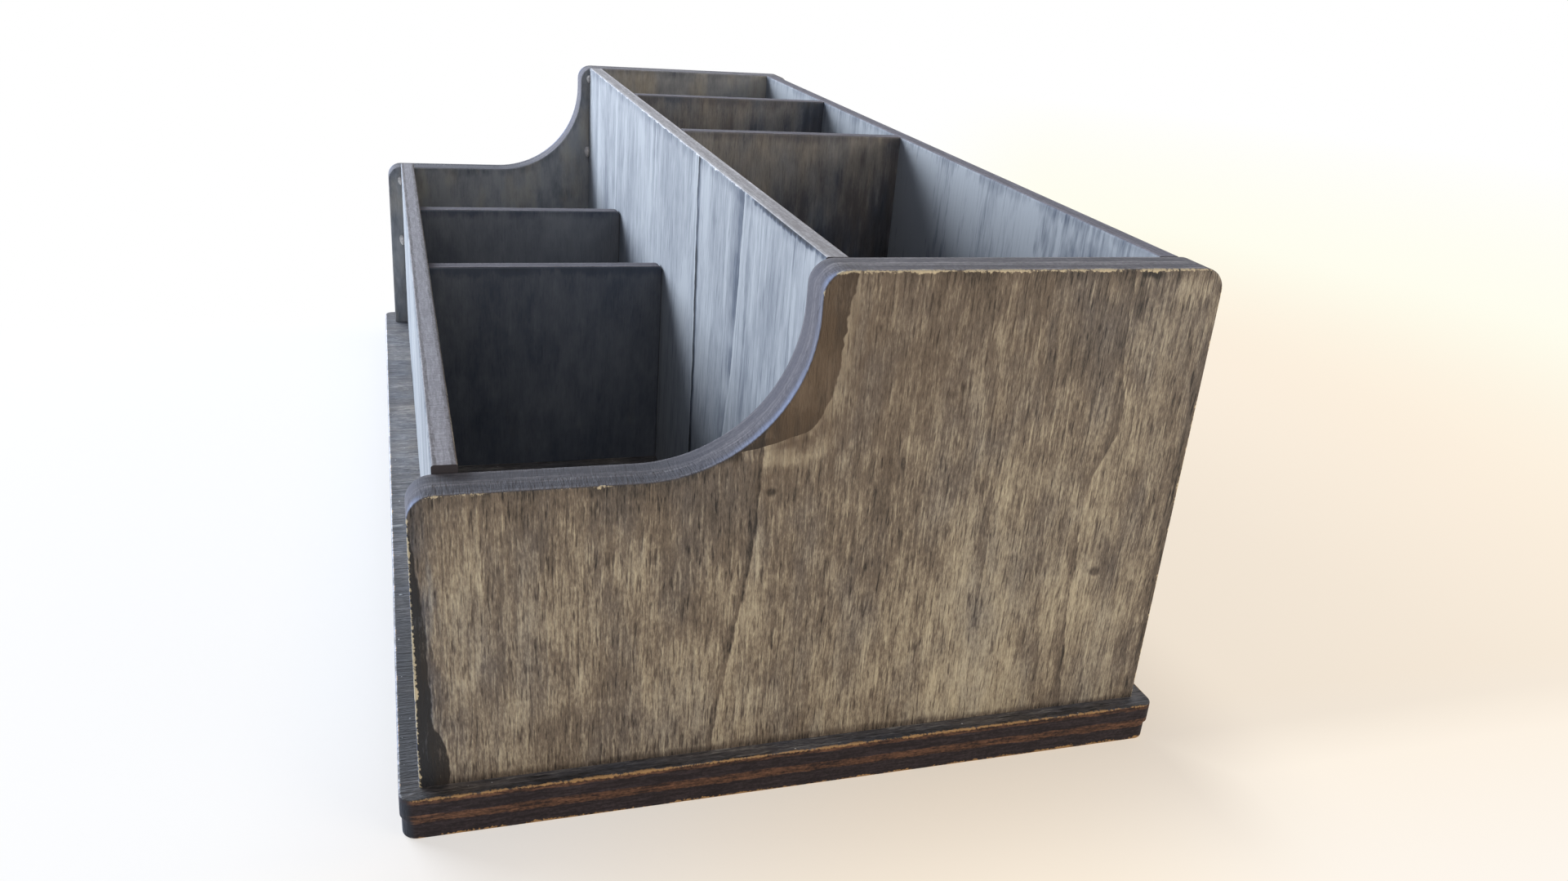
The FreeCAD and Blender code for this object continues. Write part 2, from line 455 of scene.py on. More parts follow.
def cut_plies(at, look):
    """Outer plies and a core, streaked along the cut and frayed where they meet."""
    tree = at.tree
    face_ply = bpy.context.scene.rack_sizes.face_ply / MM
    from_face = at.beyond if look.scorched else at.nearer
    frayed = total(tree, from_face, [(figure(tree, at.point, (5, 5, 0.8), 4.0, 0.75), 0.3)])
    in_core = add(tree, "MapRange", {0: frayed, 1: face_ply - 0.2, 2: face_ply + 0.15}, **SMOOTH)
    streaks = figure(tree, at.point, (6, 6, 0.5), 4.0, 0.75)
    streaks = total(tree, streaks, [(figure(tree, at.point, (0.7, 0.7, 0.4), 2.0), 0.5)])
    outer = add(tree, "Mix", {0: add(tree, "MapRange", {0: streaks, 1: -0.6, 2: 0.9}),
                              6: look.ply[1], 7: look.ply[0]}, 2, **RGBA)
    inner = add(tree, "Mix", {0: add(tree, "MapRange", {0: streaks, 1: -0.4, 2: 1.4}),
                              6: look.core[1], 7: look.core[0]}, 2, **RGBA)
    return add(tree, "Mix", {0: in_core, 6: outer, 7: inner}, 2, **RGBA)


def swept_edge(at, plies, low_edge, outermost):
    """The cut edge of a side: darkest on its low part, and painted blue where it is turned to the
    window, as a reflection of it.

    On the hollow sweep a painted highlight of the window lies in the outermost 2 mm, where the
    arris was rubbed round.
    """
    tree = at.tree
    colours = bpy.context.scene.rack_colours
    low = add(tree, "MapRange", {0: at.along, 1: low_edge + 5.0, 2: low_edge + 1.0, 4: 0.55},
              **SMOOTH)
    plies = add(tree, "Mix", {0: low, 6: plies, 7: colours.edge_low}, 2, **RGBA)
    # Painted reflection of the window: bluish where the edge faces the front.
    blue = add(tree, "MapRange", {0: at.turned, 1: -0.1, 2: -0.8, 4: 0.7})
    plies = add(tree, "Mix", {0: blue, 6: plies, 7: colours.edge_window_reflection}, 2, **RGBA)
    if not outermost:
        return plies
    # Painted highlight of the window in the outer 2 mm of the sweep.
    ragged = total(tree, at.depth, [(figure(tree, at.point, (3, 3, 2), 3.0), 0.25)])
    film = add(tree, "MapRange", {0: ragged, 1: 2.2, 2: 0.6}, **SMOOTH)
    lit = add(tree, "MapRange", {0: at.turned, 1: -0.3, 2: -0.75}, **SMOOTH)
    film = add(tree, "Math", {0: film, 1: lit}, operation="MULTIPLY")
    # The painted highlight is weaker on the upright, which faces the front squarely.
    hollow = add(tree, "MapRange", {0: at.turned, 1: -0.99, 2: -0.85, 3: 0.25, 4: 0.8})
    film = add(tree, "Math", {0: film, 1: hollow}, operation="MULTIPLY")
    return add(tree, "Mix", {0: film, 6: plies, 7: colours.edge_window_highlight}, 2, **RGBA)


def to_the_front(at):
    """0 to 0.85, the more the surface faces the front of the rack, where painted window light
    lies.
    """
    front = add(at.tree, "VectorMath", {0: at.normal, 1: (0, -1, 0)}, "Value",
                operation="DOT_PRODUCT")
    return add(at.tree, "MapRange", {0: front, 1: 0.15, 2: 0.6, 4: 0.85}, **SMOOTH)


def cut_edge(at, look):
    """The colour of a cut edge: its plies, and what the stain, the cut and hands did to them."""
    tree = at.tree
    colours = bpy.context.scene.rack_colours
    edge = cut_plies(at, look)
    if look.seam:
        seam = add(tree, "MapRange", {0: at.beyond, 1: 0.35, 2: 0.1, 4: 0.5}, **SMOOTH)
        edge = add(tree, "Mix", {0: seam, 6: edge, 7: look.core[1]}, 2, **RGBA)
    if look.swept:
        edge = swept_edge(at, edge, *look.swept)
    if look.soiled:
        middle, radius = look.soiled
        away = far_from(at, middle)
        grime = add(tree, "MapRange", {0: away, 1: radius, 2: 0.3 * radius, 4: 0.3}, **SMOOTH)
        edge = add(tree, "Mix", {0: grime, 6: edge, 7: colours.edge_soiled}, 2, **RGBA)
    if look.dark_ends:
        ends = add(tree, "Math", {0: at.turned}, operation="ABSOLUTE")
        ends = add(tree, "MapRange", {0: ends, 1: 0.6, 2: 0.8})
        edge = add(tree, "Mix", {0: ends, 6: edge, 7: colours.edge_ends}, 2, **RGBA)
    # Painted cool cast of the window on cut edges that face the front.
    if look.painted_window_front:
        edge = add(tree, "Mix", {0: to_the_front(at), 6: edge, 7: colours.edge_front_window_cast}, 2, **RGBA)
    return edge


def stained_face(at, look, rim):
    """The colour of a face, how much stain it took, and the relief of its grain."""
    tree = at.tree
    usual = 0.4
    fine, wide, relief = stain_taken(at, look.coarse)
    shown = look.grain
    if look.smooth:
        calm = oval(at, *look.smooth)
        shown = add(tree, "MapRange", {0: calm, 3: look.grain, 4: 0.3 * look.grain})
    shown = add(tree, "Math", {0: fine, 1: shown}, operation="MULTIPLY")
    stain = total(tree, usual + look.tone, [(shown, 1.0), (wide, look.bands)])
    # Stain gathers within some 3 mm of an edge.
    gather = total(tree, rim, [(figure(tree, at.point, (5, 9, 9), 3.0, 0.6), 1.4)])
    gather = add(tree, "MapRange", {0: gather, 1: 3.0, 2: 0.0}, **SMOOTH)
    stain = total(tree, stain, [(gather, 0.16)])
    # Some marks paint shade or light, not stain.
    for mark in look.marks:
        stain = mark(at, stain)

    cloudy = figure(tree, at.point, (9, 26, 30), 3.0, 0.6)
    blackness = total(tree, look.black, [(cloudy, look.mottle)])
    for middle, size, weight in look.cold:
        blackness = total(tree, blackness, [(oval(at, middle, size), weight)])
    if look.brown_back:
        # Stained as the near end is.
        behind = add(tree, "MapRange", {0: at.facing, 1: -0.1, 2: 0.1})
        brown = total(tree, 0.42, [(fine, 0.9), (wide, 0.9)])
        stain = add(tree, "Mix", {0: behind, 2: stain, 3: brown}, 0)
        blackness = total(tree, blackness, [(behind, 0.1 - look.black)])

    colours = bpy.context.scene.rack_colours
    face = add(tree, "Mix", {
        0: blackness,
        6: shaded(tree, stain, (colours.brown_pale, colours.brown_middle, colours.brown_dark)),
        7: shaded(tree, stain, (colours.black_pale, colours.black_middle, colours.black_dark))},
        2, **RGBA)
    for middle, size, weight in look.warm:
        patch = add(tree, "Math", {0: oval(at, middle, size), 1: weight}, operation="MULTIPLY")
        face = add(tree, "Mix", {0: patch, 6: face, 7: colours.brown_warm}, 2, **RGBA)
    if look.dust:
        specks = figure(tree, at.point, (0.9, 0.9, 0.9), 1.0)
        specks = add(tree, "MapRange", {0: specks, 1: 1.22, 2: 1.4, 4: look.dust})
        face = add(tree, "Mix", {0: specks, 6: face, 7: colours.dust}, 2, **RGBA)
    return face, stain, relief


def rubbed_arrises(at, look, rim):
    """0.9 on the arrises that were rubbed to raw wood, in short dashes, and 0 elsewhere."""
    tree = at.tree
    from_face = at.depth if look.one_face else at.nearer
    arris = add(tree, "Math", {0: rim, 1: from_face}, operation="MAXIMUM")
    change = look.wear * look.uneven
    # The width of the rubbed strip, which breaks up where it is less than nothing.
    width = total(tree, 0.25 * look.wear, [
        (figure(tree, at.point, (4, 4, 4), 3.0, 0.6), 0.35 * change),
        (figure(tree, at.point, (0.5, 0.5, 0.5), 2.0, 0.8), 0.25 * change)])
    for middle, radius, less in look.spared:
        kept = add(tree, "MapRange", {0: far_from(at, middle), 1: radius, 2: radius - 5})
        width = total(tree, width, [(kept, -less)])
    over = add(tree, "Math", {0: arris, 1: width}, operation="SUBTRACT")
    return add(tree, "MapRange", {0: over, 1: 0.1, 2: -0.12, 4: 0.9}, **SMOOTH)


def stained_birch(name, lie, outline, look):
    """Three-ply birch, laser cut, wiped with a black-brown stain and rubbed at its arrises.

    The stain stays in the open pores and on the soft early wood and hardly colours the hard late
    wood, so that the eye sees fine dark dashes on pale wood, in broad bands along the grain. It
    gathers beside the edges, dries to a low satin that turns pale at a grazing angle, and shows
    raw wood where the arrises were rubbed.
    """
    material = bpy.data.materials.new(name)
    tree = emptied(material)
    colours = bpy.context.scene.rack_colours
    at = sheet_ground(tree, lie)
    rim = outline(at)
    face, stain, relief = stained_face(at, look, rim)
    flat = add(tree, "Math", {0: at.facing}, operation="ABSOLUTE")
    on_edge = add(tree, "MapRange", {0: flat, 1: 0.75, 2: 0.45}, **SMOOTH)
    colour = add(tree, "Mix", {0: on_edge, 6: face, 7: cut_edge(at, look)}, 2, **RGBA)
    raw = getattr(colours, look.raw)
    # Painted highlight of the window on rubbed arrises that face the front.
    if look.painted_window_front:
        raw = add(tree, "Mix", {0: to_the_front(at), 6: raw, 7: colours.front_arris_highlight}, 2, **RGBA)
    colour = add(tree, "Mix", {0: rubbed_arrises(at, look, rim), 6: colour, 7: raw}, 2, **RGBA)

    # Pools of stain are rougher than pale wood, and carry less of the film.
    bump = add(tree, "Bump", {"Strength": 0.6, "Distance": look.raised * MM, "Height": relief})
    roughness = total(tree, look.matt, [(stain, 0.15)])
    roughness = add(tree, "Mix", {0: on_edge, 2: roughness, 3: look.edge_matt}, 0)
    film = add(tree, "MapRange", {
        0: stain, 1: 0.2, 2: 0.8, 3: look.gloss * 1.3, 4: look.gloss * 0.3})
    film = add(tree, "Mix", {0: on_edge, 2: film, 3: 0.0}, 0)
    shader = add(tree, "BsdfPrincipled", {
        "Base Color": colour, "Roughness": roughness, "Normal": bump, "IOR": 1.5,
        "Specular IOR Level": look.shine,
        "Coat Weight": film, "Coat Roughness": 0.5, "Coat IOR": 1.5,
        "Sheen Weight": look.sheen, "Sheen Roughness": 0.4, "Sheen Tint": "#e8eefc"})
    add(tree, "OutputMaterial", {"Surface": shader}, None)
    return material


def finish_sheet(node, lie, outline, look):
    """Put a finish of its own on a sheet."""
    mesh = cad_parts[node].data
    material = stained_birch(f"stained_birch_{node}", lie, outline, look)
    for index in range(len(mesh.materials)):
        mesh.materials[index] = material


# -------- the base
# Places are measured from the middle, along the rack and from front to back.

# Edges and arrises of the base that face the front carry painted window light: a cool cast and
# pale blue highlights.
BASE_LOOK = Look(
    ply=("#745441", "#281e1c"), core=("#40383c", "#1d171a"), tone=0.22, black=0.42,
    cold=(((0, -70), (400, 9), 0.25), ((130, 0), (6, 80), 0.3)),
    dust=0.8, painted_window_front=True, uneven=0.8, raw="raw_base", raised=0.15, gloss=0.3)

# A short split in the veneer at the front, and darker or paler strips along the edges.
BASE_MARKS = stain_and_painted_light_spots(
    (33.2, -68.4, 0.45, 2, -0.5), (34.6, -68.4, 0.8, 2.4, 0.4), (80, -68, 42, 12, 0.14),
    (-30, -68, 95, 7, -0.07), (128.8, 8, 4.5, 90, -0.05), (124, -68, 62, 7, 0.3))

BASE_LOOKS = {
    "base_upper": replace(BASE_LOOK, marks=(BASE_MARKS,), wear=0.95),
    "base_lower": replace(BASE_LOOK, scorched=True, wear=1.4),
}


class RACK_OT_base(bpy.types.Operator):
    """Finish the two sheets of the base, whose grain runs from front to back"""
    bl_idname = "rack.base"
    bl_label = "Base"

    def execute(self, context):
        for seed, name in ((3, "base_upper"), (5, "base_lower")):
            low, high = box_mm(name)
            bare, into = (high[2], -1) if name == "base_upper" else (low[2], 1)
            lie = Lie(corner=(0, 0, bare * MM), across=(1, 0, 0), along=(0, 1, 0),
                      into=(0, 0, into), seed=seed)
            finish_sheet(name, lie, rectangle(high[0], high[1]), BASE_LOOKS[name])
        return {"FINISHED"}


# -------- the sides
# Places are measured from the middle of the rack's depth and from the top of the base.

SIDE_LOOK = Look(ply=("#99938f", "#605b5a"), core=("#7c7674", "#504d4d"), seam=True)

# A brown patch beside the sweep, bounded by a growth line.
BROWN_PATCH = ((-8, 73), (11, 22))
PATCH_LINE = ((56.5, -16), (58.3, -9), (60, -4.6), (62.8, -2.8), (68.3, -1.3), (78.8, -0.7),
              (HIGH_TOP, 0.8))

OUTER_LOOK = replace(
    SIDE_LOOK, tone=0.02, black=0.06, smooth=BROWN_PATCH,
    warm=((*BROWN_PATCH, 0.5), ((6, 76), (36, 26), 0.26)), cold=(((-67, 10), (4.6, 42), 0.8),),
    wear=0.9, raw="raw_wood", raised=0.2)
# The inner sheets are paler and bluer: painted light, for the light that reaches the far side's
# inner face.
INNER_LOOK = replace(
    SIDE_LOOK, tone=-0.31, grain=0.15, bands=1.1, black=0.95, mottle=0.45, wear=0.2)

# The veneer of the near end: growth lines, pin knots, pools of stain, broad darker and paler
# spots, and a band of painted shade along the foot.
NEAR_END_MARKS = (
    veneer_line(((0, -18), (12.5, -16.9), (17.7, -16.1), (23.5, -15.3), (36.5, -13.4),
                 (48, -12.6)), 0.4, 1.8, 0.12),
    veneer_line(((0, 50.3), (13.6, 49), (23.8, 48.1), (35.2, 47.9), (43.2, 47.7), (51.2, 49.4),
                 (54.4, 50.3), (58.9, 51.5), (70, 49.8), (HIGH_TOP, 49)), 0.36, 2.4, 0.12),
    veneer_line(((0, 45.2), (27, 41.9), (55, 38.4), (HIGH_TOP, 36)), 0.2, 4.5),
    veneer_line(((20, 30.5), (47.5, 28.8), (62, 27.3), (HIGH_TOP, 24.5)), 0.2, 4.0),
    veneer_line(PATCH_LINE, 0.55, 5.5, 0.26, strip_width=3.4, ragged=0.7),
    veneer_line(PATCH_LINE, 0.12, 30.0, ragged=0.7),
    veneer_line(((0, -61.8), (6.5, -62), (12, -63.9), (19, -64.4), (31, -64.6), (40, -65.4),
                 (50, -67)), 0.85, 12.0),
    stain_and_painted_light_spots(
        # The first spot is painted shade: a dark band along the foot, where the side stands on the
        # base.
        (0, 0, 170, 1.5, 0.33), (-10.6, 49.3, 1.2, 0.8, 0.45), (52.5, 84.6, 2.2, 0.8, 0.5),
        (50.9, 80, 1.8, 4, 0.2), (52.3, 29, 1.5, 1, 0.45), (53.6, 33, 1.2, 4, 0.15),
        (66.5, 28, 2.2, 32, 0.2), (-9, 55.4, 5, 2, -0.34), (-9, 60.5, 7, 3.5, 0.36),
        (-4.5, 64, 2.6, 5, 0.2), (5, 84, 38, 30, 0.15), (-24, 54, 34, 16, 0.22),
        (30, 12, 40, 22, -0.1), (-59, 27, 4, 16, -0.12), (9, 44, 5, 20, 0.14),
        (-3.5, 60, 3, 12, -0.14), (-20, 34, 7, 14, 0.1), (21, 30, 9, 14, -0.08),
        (-38, 8, 16, 5, 0.14), (62, 82, 5, 5, -0.2)),
)


class RACK_OT_sides(bpy.types.Operator):
    """Finish the four sheets of the two sides, whose grain runs up"""
    bl_idname = "rack.sides"
    bl_label = "Sides"

    def execute(self, context):
        sizes = context.scene.rack_sizes
        sweep = sizes.sweep / MM
        low_edge = box_mm("front_panel")[1][2] - sizes.low_drop / MM - FOOT
        upright = box_mm("middle_panel")[0][1] - sizes.upright_lead / MM
        names = ("right_side_outer", "right_side_inner", "left_side_outer", "left_side_inner")
        for seed, name in enumerate(names, start=11):
            low, high = box_mm(name)
            hand = 1 if name.startswith("right") else -1
            outward = hand if name.endswith("outer") else -hand
            bare = high[0] if outward > 0 else low[0]
            lie = Lie(corner=(bare * MM, 0, FOOT * MM), across=(0, 1, 0), along=(0, 0, 1),
                      into=(-outward, 0, 0), seed=seed)
            outline = stepped_side(high[1], high[2] - FOOT, low_edge, upright, sweep)
            if name.endswith("outer"):
                in_sweep = (upright - 0.3 * sweep, low_edge + 0.3 * sweep)
                on_low_edge = (low[1] + 0.6 * sweep, low_edge)
                look = replace(
                    OUTER_LOOK, swept=(low_edge, True),
                    marks=NEAR_END_MARKS if name == "right_side_outer" else (),
                    spared=((in_sweep, 0.9 * sweep, 1.0), (on_low_edge, 0.7 * sweep, 0.2)))
            else:
                look = replace(INNER_LOOK, swept=(low_edge, False))
            finish_sheet(name, lie, outline, look)
        return {"FINISHED"}


# -------- the panels
# Places are measured from the middle of the rack's length and from the top of the base.

# The faces of the panels are painted pale blue-grey by a low tone and a large share of black
# stain: a painted sheen of the window at a grazing angle. Their gloss and sheen are off, and their
# other faces stay brown.
PANEL_LOOK = Look(
    ply=("#8a8484", "#5b5756"), core=("#aca8a8", "#858182"), grain=0.42, bands=0.9,
    coarse=(2.2, 3), black=1.2, brown_back=True, dark_ends=True, wear=0.0, one_face=False,
    matt=0.75, edge_matt=0.7, shine=0.25, gloss=0.0, sheen=0.0)

# The veneer of the two high panels: a crack and a growth line, and pale streaks where the grain
# took less stain and the painted sheen is brighter. A faint dark patch low beside a front
# divider paints its shade.
MIDDLE_MARKS = (
    veneer_line(((0, 38), (41.6, 36.8), (54.8, 35.7), (65.9, 35), (76.7, 34.3),
                 (HIGH_TOP, 34)), 1.6, 3.0, 0.5, side=-1),
    veneer_line(((0, 58), (35, 65.9), (48, 68.9), (63, 70.4), (HIGH_TOP, 71.5)), 0.36, 9.0, 0.35),
    stain_and_painted_light_spots(
        (-16.2, 74, 1.8, 17, -0.3), (-11, 77, 1.2, 13, -0.25), (31.5, 79, 1.2, 11, -0.3),
        (43, 77, 1, 12, -0.25), (61, 70, 1.2, 14, -0.2), (76.5, 70, 1.5, 16, 0.2),
        (80.5, 72, 1, 12, -0.25), (105, 70, 1, 12, -0.3), (-99, 60, 2.5, 32, -0.25),
        (-67.5, 62, 2, 30, -0.25), (-83, 50, 5, 40, 0.15), (98, HIGH_TOP, 25, 1, 0.65),
        (-60, 55, 60, 50, 0.07)),
)
# On the back panel a dark patch low down paints the shadow of a divider, and a pale patch above it
# paints the light beside it.
BACK_MARKS = (
    stain_and_painted_light_spots(
        (85.5, 70, 1.2, 18, -0.5), (20, 34, 30, 32, 0.4), (14, 66, 13, 22, -0.35),
        (79, 66, 1.6, 12, -0.25), (94, 60, 22, 26, 0.3), (98, 76, 10, 12, 0.2),
        (76, 70, 1.5, 12, -0.25), (36, 72, 3, 12, -0.2)),
)

PANEL_LOOKS = {
    "front_panel": replace(PANEL_LOOK, tone=-0.24),
    "middle_panel": replace(
        PANEL_LOOK, ply=("#e2dedb", "#aca9a6"), core=("#d4d0cd", "#9a9693"), tone=-0.3,
        marks=MIDDLE_MARKS, soiled=((116, HIGH_TOP), 46), wear=0.5,
        spared=(((102, HIGH_TOP), 30, 1.0),)),
    "back_panel": replace(
        PANEL_LOOK, ply=("#949095", "#6a676c"), core=("#8a878e", "#605e64"), tone=-0.36, bands=1.1,
        marks=BACK_MARKS),
}


class RACK_OT_panels(bpy.types.Operator):
    """Finish the front, middle and back panels, whose grain runs up"""
    bl_idname = "rack.panels"
    bl_label = "Panels"

    def execute(self, context):
        for seed, (name, look) in enumerate(PANEL_LOOKS.items(), start=21):
            low, high = box_mm(name)
            lie = Lie(corner=(0, low[1] * MM, FOOT * MM), across=(1, 0, 0), along=(0, 0, 1),
                      into=(0, 1, 0), seed=seed)
            finish_sheet(name, lie, top_edge(high[2] - FOOT), look)
        return {"FINISHED"}


# -------- the dividers
# Places are measured from the middle of the divider and from the top of the base.

DIVIDER_LOOK = Look(ply=("#827b7b", "#5a5454"), core=("#716a6c", "#4e4a4d"), wear=0.0,
                    one_face=False)
FRONT_LOOK = replace(DIVIDER_LOOK, grain=0.1, bands=0.4, black=1.2)
# Painted shadow: darker and blacker low down and towards the back panel, where the divider is
# in shade.
BACK_LOOK = replace(
    DIVIDER_LOOK, grain=0.22, bands=0.55, mottle=0.3, cold=(((14, 6), (46, 60), 0.45),),
    marks=(stain_and_painted_light_spots((12, 18, 44, 60, 0.26), (15, 6, 90, 60, 0.28), (27, 40, 7, 70, 0.22)),))

DIVIDER_LOOKS = {
    # The far front divider is paler: painted light, as more light reaches the far cells.
    "front_divider_1": replace(FRONT_LOOK, tone=-0.09),
    "front_divider_2": FRONT_LOOK,
    "back_divider_1": replace(BACK_LOOK, tone=-0.02, black=0.85),
    "back_divider_2": replace(BACK_LOOK, tone=-0.1, black=0.68),
}


class RACK_OT_dividers(bpy.types.Operator):
    """Finish the four dividers, whose grain runs up"""
    bl_idname = "rack.dividers"
    bl_label = "Dividers"

    def execute(self, context):
        for seed, (name, look) in enumerate(DIVIDER_LOOKS.items(), start=31):
            low, high = box_mm(name)
            lie = Lie(corner=(low[0] * MM, (low[1] + high[1]) / 2 * MM, FOOT * MM),
                      across=(0, 1, 0), along=(0, 0, 1), into=(1, 0, 0), seed=seed)
            finish_sheet(name, lie, top_edge(high[2] - FOOT), look)
        return {"FINISHED"}


# -------- the glue

def glue_bead(name, corner, size):
    """A bead of glue in an inner corner, as a lumpy egg that is partly let into the two sheets.

    For a longitude and a latitude the distance from the middle is 1 plus a tenth of the cosine of
    three times the longitude, times the cosine of the latitude, and a tenth of the sine of twice
    the latitude. It is scaled to the size across and to 1.7 times that upwards.
    """
    turns, rings, tall = 24, 13, 1.7
    longitude = np.arange(turns) * math.tau / turns
    latitude = (np.linspace(-0.5, 0.5, rings + 2)[1:-1] * math.pi)[:, None]
    lobes = 0.1 * np.cos(3 * longitude) * np.cos(latitude)
    reach = size * (1 + lobes + 0.1 * np.sin(2 * latitude))
    ball = np.stack((reach * np.cos(latitude) * np.cos(longitude),
                     reach * np.cos(latitude) * np.sin(longitude),
                     tall * reach * np.sin(latitude) * np.ones(turns)), axis=-1).reshape(-1, 3)
    ends = np.array(((0, 0, -tall * size), (0, 0, tall * size)))
    clear_of_corner = (0.4 * size, -0.4 * size, 0)
    points = (np.concatenate((ball, ends)) + corner + clear_of_corner) * MM
    low = np.arange((rings - 1) * turns).reshape(rings - 1, turns)
    after = np.roll(low, -1, axis=1)
    walls = np.stack((low, after, after + turns, low + turns), axis=-1).reshape(-1, 4)
    around = np.arange(turns)
    foot = np.stack((np.roll(around, -1), around, np.full(turns, rings * turns)), axis=-1)
    top = np.stack((around, np.roll(around, -1), np.full(turns, rings * turns + 1)), axis=-1)
    top[:, :2] += (rings - 1) * turns
    mesh = bpy.data.meshes.new(name)
    mesh.from_pydata(points.tolist(), [], walls.tolist() + foot.tolist() + top.tolist())
    mesh.shade_smooth()
    piece = bpy.data.objects.new(name, mesh)
    bpy.context.scene.collection.objects.link(piece)
    return piece


def dried_glue():
    """White wood glue that has dried: clouded, smooth and a little stained, so that it glints."""
    material = bpy.data.materials.new("dried_wood_glue")
    tree = emptied(material)
    colours = bpy.context.scene.rack_colours
    place = add(tree, "VectorMath", {0: add(tree, "TexCoord", out="Object"), 1: (1 / MM,) * 3},
                operation="MULTIPLY")
    clouds = add(tree, "MapRange", {0: figure(tree, place, (0.6, 0.6, 0.6), 3.0), 1: -1.0, 2: 1.0})
    colour = add(tree, "Mix", {0: clouds, 6: colours.glue_stained, 7: colours.glue}, 2, **RGBA)
    bump = add(tree, "Bump", {"Strength": 0.3, "Distance": 0.1 * MM, "Height": clouds})
    shader = add(tree, "BsdfPrincipled", {
        "Base Color": colour, "Normal": bump, "IOR": 1.46,
        "Roughness": add(tree, "MapRange", {0: clouds, 3: 0.4, 4: 0.25})})
    add(tree, "OutputMaterial", {"Surface": shader}, None)
    return material


class RACK_OT_glue(bpy.types.Operator):
    """Make the beads of glue that were squeezed out of the joints of the far side"""
    bl_idname = "rack.glue"
    bl_label = "Glue beads"

    def execute(self, context):
        material = dried_glue()
        side_face = box_mm("left_side_inner")[1][0]
        middle_face = box_mm("middle_panel")[0][1]
        front_face = box_mm("front_panel")[0][1]
        # Face of the panel, height above the floor and size.
        beads = ((middle_face, 66.4, 1.0), (middle_face, 90.0, 0.7), (front_face, 36.2, 1.0),
                 (front_face, 55.7, 0.8))
        for number, (face, height, size) in enumerate(beads, start=1):
            piece = glue_bead(f"glue_bead_{number}", (side_face, face, height), size)
            piece.data.materials.append(material)
            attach(piece, "root")
        return {"FINISHED"}


# -------- the stage

def seen_or_mirrored(tree):
    """1 for rays from the camera and mirrored or refracted ones, 0 for the light of the room."""
    rays = add(tree, "LightPath").node.outputs
    seen = add(tree, "Math", {0: rays["Is Camera Ray"], 1: rays["Is Glossy Ray"]},
               operation="MAXIMUM")
    return add(tree, "Math", {0: seen, 1: rays["Is Transmission Ray"]}, operation="MAXIMUM")


def matt_white_card():
    """Matt white card that keeps the shadow near the rack and is plain white or cream beyond it.

    It turns from cool to warm from the window's side to the lamp's, as painted light of the window
    and the lamp. Distances are in metres.
    """
    material = bpy.data.materials.new("matt_white_card")
    tree = emptied(material)
    colours = bpy.context.scene.rack_colours
    place = add(tree, "TexCoord", out="Object")
    lean = add(tree, "VectorMath", {0: place, 1: (0.5, 0.85, 0)}, "Value", operation="DOT_PRODUCT")
    warmth = add(tree, "MapRange", {0: lean, 1: -0.03, 2: 0.09}, **SMOOTH)
    card = add(tree, "Mix", {0: warmth, 6: colours.floor_cool, 7: colours.floor_warm}, 2, **RGBA)

    # Away from the shadow the card shows painted lamp light: warm, then cream, then white, and
    # white at once on the window's side.
    reach = add(tree, "VectorMath", {0: place}, "Value", operation="LENGTH")
    creamy = add(tree, "MapRange", {0: reach, 1: 0.24, 2: 0.48}, **SMOOTH)
    plain = add(tree, "Mix", {0: creamy, 6: colours.floor_warm, 7: colours.floor_cream}, 2, **RGBA)
    along, aside = add(tree, "SeparateXYZ", {0: place}).node.outputs[:2]
    past_end = add(tree, "MapRange", {0: along, 1: 0.12, 2: 0.25})
    behind_rack = add(tree, "MapRange", {0: aside, 1: 0.03, 2: 0.09}, **SMOOTH)
    for white in (add(tree, "MapRange", {0: reach, 1: 0.42, 2: 1.05}),
                  add(tree, "Math", {0: past_end, 1: behind_rack}, operation="MULTIPLY"),
                  add(tree, "Math", {0: 1.0, 1: warmth}, operation="SUBTRACT")):
        plain = add(tree, "Mix", {0: white, 6: plain, 7: "#ffffff"}, 2, **RGBA)

    # The shadow shows in a band beside the ends and the flanks, and most hard by the rack.
    beside = add(tree, "VectorMath", {0: place}, operation="ABSOLUTE")
    beside = add(tree, "VectorMath", {0: beside, 1: CAD_BOX[1]}, operation="SUBTRACT")
    beside = add(tree, "VectorMath", {0: beside, 1: (0, 0, 0)}, operation="MAXIMUM")
    off_end, off_flank = add(tree, "SeparateXYZ", {0: beside}).node.outputs[:2]
    end = add(tree, "MapRange", {0: off_end, 1: 0.045, 2: 0.0}, **SMOOTH)
    flank = add(tree, "MapRange", {0: off_flank, 1: 0.03, 2: 0.0, 4: 0.45}, **SMOOTH)
    lee = add(tree, "MapRange", {0: warmth, 3: 0.18, 4: 0.22})
    lee = add(tree, "MapRange", {0: off_flank, 1: lee, 2: 0.0})
    hard_by = add(tree, "Math", {0: add(tree, "MapRange", {0: off_end, 1: 0.014, 2: 0.0}),
                                 1: add(tree, "MapRange", {0: off_flank, 1: 0.012, 2: 0.0})},
                  operation="MAXIMUM")
    lee = add(tree, "Math", {0: lee, 1: hard_by}, operation="MULTIPLY")
    flank = total(tree, flank, [(lee, 0.55)])
    near = add(tree, "Math", {0: end, 1: flank}, operation="MULTIPLY")
    least_plain = 0.57
    share = add(tree, "MapRange", {0: near, 3: 1.0, 4: least_plain})
    share = add(tree, "Math", {0: share, 1: seen_or_mirrored(tree)}, operation="MULTIPLY")
    surface = add(tree, "MixShader", {
        0: share, 1: add(tree, "BsdfDiffuse", {"Color": card}),
        2: add(tree, "Emission", {"Color": plain, "Strength": 1.0})})
    add(tree, "OutputMaterial", {"Surface": surface}, None)
    return material


